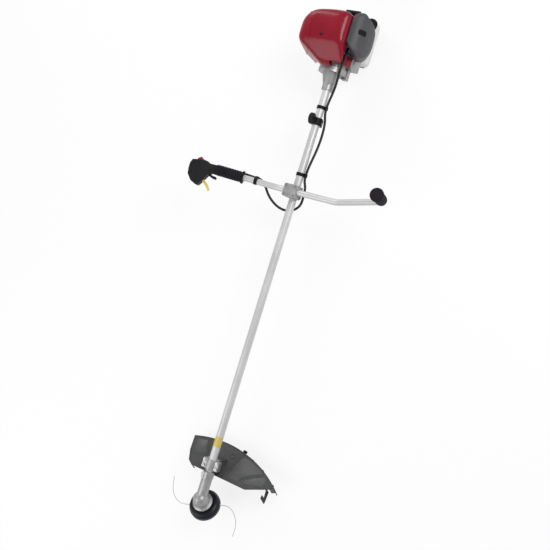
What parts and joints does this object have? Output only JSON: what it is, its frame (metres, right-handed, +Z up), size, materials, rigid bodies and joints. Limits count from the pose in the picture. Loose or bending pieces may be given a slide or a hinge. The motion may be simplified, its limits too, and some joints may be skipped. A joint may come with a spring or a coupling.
{
  "type": "brush cutter",
  "caption": "Petrol brush cutter: engine, straight drive tube, bull-horn handlebar with throttle grip, guard and nylon line head.",
  "frame": {"origin": "centre of the machine without its two nylon lines, on the ground it rests on", "axes": "+X along the tube towards the cutting head, +Y to the operator's left, +Z up"},
  "size_m": [1.8994, 0.7938, 0.3682],
  "materials": {
    "tube_aluminium": "satin anodised",
    "cast_aluminium": "cast, lightly blasted",
    "steel": "ground",
    "dark_steel": "blackened",
    "piston_aluminium": "machined",
    "bush_plastic": "plain",
    "head_plastic": "moulded, fine grain",
    "line_nylon": "extruded",
    "guard_plastic": "moulded, worn",
    "grip_rubber": "soft, ribbed",
    "black_plastic": "moulded",
    "trigger_yellow": "moulded",
    "switch_red": "moulded",
    "cable_sheath": "smooth",
    "cover_red": "moulded, semi-gloss",
    "cover_grey": "moulded",
    "tank_plastic": "translucent, blow moulded",
    "muffler_steel": "heat-proof black",
    "plug_ceramic": "boot",
    "filter_foam": "open foam"
  },
  "bodies": {
    "machine": {"air_cleaner_cover": "cover_grey", "air_filter": "filter_foam", "ball_bearings": "steel", "cable_ties": "black_plastic", "carburettor": "cast_aluminium", "clamp_bolts": "steel", "clutch_housing": "cast_aluminium", "cover_screws": "dark_steel", "crankcase": "cast_aluminium", "cylinder": "cast_aluminium", "engine_stand": "black_plastic", "fan_case": "cast_aluminium", "fuel_tank": "tank_plastic", "gear_case": "cast_aluminium", "guard": "guard_plastic", "guard_bracket": "cast_aluminium", "guard_clamp": "cast_aluminium", "guard_skirt": "guard_plastic", "handle_base": "cast_aluminium", "handle_cap": "cast_aluminium", "handlebar": "tube_aluminium", "hanger_clamp": "black_plastic", "left_grip": "grip_rubber", "line_knife": "steel", "main_tube": "tube_aluminium", "muffler": "muffler_steel", "right_grip": "grip_rubber", "shaft_bushes": "bush_plastic", "spark_plug": "plug_ceramic", "starter_cover": "black_plastic", "throttle_cable": "cable_sheath", "throttle_case_lower": "black_plastic", "throttle_case_upper": "black_plastic", "top_cover": "cover_red", "trigger_spring": "steel"},
    "cutter": {"output_gear": "steel", "output_shaft": "steel", "blade_holder": "cast_aluminium", "head_housing": "head_plastic", "head_cover": "head_plastic", "line_spool": "head_plastic", "spool_spring": "steel", "line_eyelets": "steel", "trimmer_line_left": "line_nylon", "trimmer_line_right": "line_nylon"},
    "bump": {"bump_knob": "head_plastic"},
    "drive": {"drive_shaft": "steel", "pinion_gear": "steel", "clutch_drum": "steel"},
    "crank": {"crankshaft": "steel", "flywheel": "piston_aluminium", "clutch_shoes": "steel"},
    "piston_set": {"piston": "piston_aluminium", "connecting_rod": "steel"},
    "trigger": {"throttle_trigger": "trigger_yellow"},
    "lockout": {"lockout_lever": "black_plastic"},
    "switch": {"stop_switch": "switch_red"},
    "choke": {"choke_lever": "black_plastic"},
    "filler_cap": {"fuel_cap": "black_plastic"},
    "starter": {"starter_grip": "black_plastic"}
  },
  "joints": [
    {"name": "cutter_spin", "type": "hinge", "parent": "machine", "child": "cutter", "pos_m": [0.87032, -0.02035, 0.136], "axis": [-0.5, 0, 0.866], "continuous": true},
    {"name": "drive_spin", "type": "hinge", "parent": "machine", "child": "drive", "pos_m": [0.07032, -0.02035, 0.136], "axis": [1, 0, 0], "continuous": true},
    {"name": "knob_bump", "type": "slide", "parent": "cutter", "child": "bump", "axis": [-0.5, 0, 0.866], "range_m": [0, 0.005], "stiffness_N_per_m": 1500, "springref_m": -0.008, "deforming": ["spool_spring"]},
    {"name": "crank_spin", "type": "hinge", "parent": "machine", "child": "crank", "pos_m": [-0.81968, -0.02035, 0.136], "axis": [1, 0, 0], "continuous": true},
    {"name": "piston_slide", "type": "slide", "parent": "machine", "child": "piston_set", "axis": [0, 0, 1], "range_m": [-0.03, 0]},
    {"name": "trigger_pull", "type": "hinge", "parent": "machine", "child": "trigger", "pos_m": [-0.22568, -0.34094, 0.25167], "axis": [0, 0.309, 0.9511], "range_deg": [0, 18], "stiffness_Nm_per_rad": 0.15, "springref_deg": -28.65},
    {"name": "lockout_press", "type": "hinge", "parent": "machine", "child": "lockout", "pos_m": [-0.24868, -0.31717, 0.24394], "axis": [0, 0.309, 0.9511], "range_deg": [0, 5], "stiffness_Nm_per_rad": 0.06, "springref_deg": -22.92},
    {"name": "switch_rock", "type": "hinge", "parent": "machine", "child": "switch", "pos_m": [-0.28368, -0.35711, 0.25692], "axis": [0, 0.309, 0.9511], "range_deg": [-8, 8]},
    {"name": "choke_turn", "type": "hinge", "parent": "machine", "child": "choke", "pos_m": [-0.81968, 0.03265, 0.2143], "axis": [0, 0, -1], "range_deg": [0, 60]},
    {"name": "cap_turn", "type": "hinge", "parent": "machine", "child": "filler_cap", "pos_m": [-0.91968, 0.04065, 0.07], "axis": [-0.31, 0.4226, 0.8517], "range_deg": [0, 270]},
    {"name": "starter_pull", "type": "slide", "parent": "machine", "child": "starter", "axis": [-1, 0, 0], "range_m": [0, 0.05], "stiffness_N_per_m": 60, "springref_m": -0.1}
  ],
  "couplings": [
    {"joint": "drive_spin", "follows": "cutter_spin", "ratio": -1.3333}
  ]
}
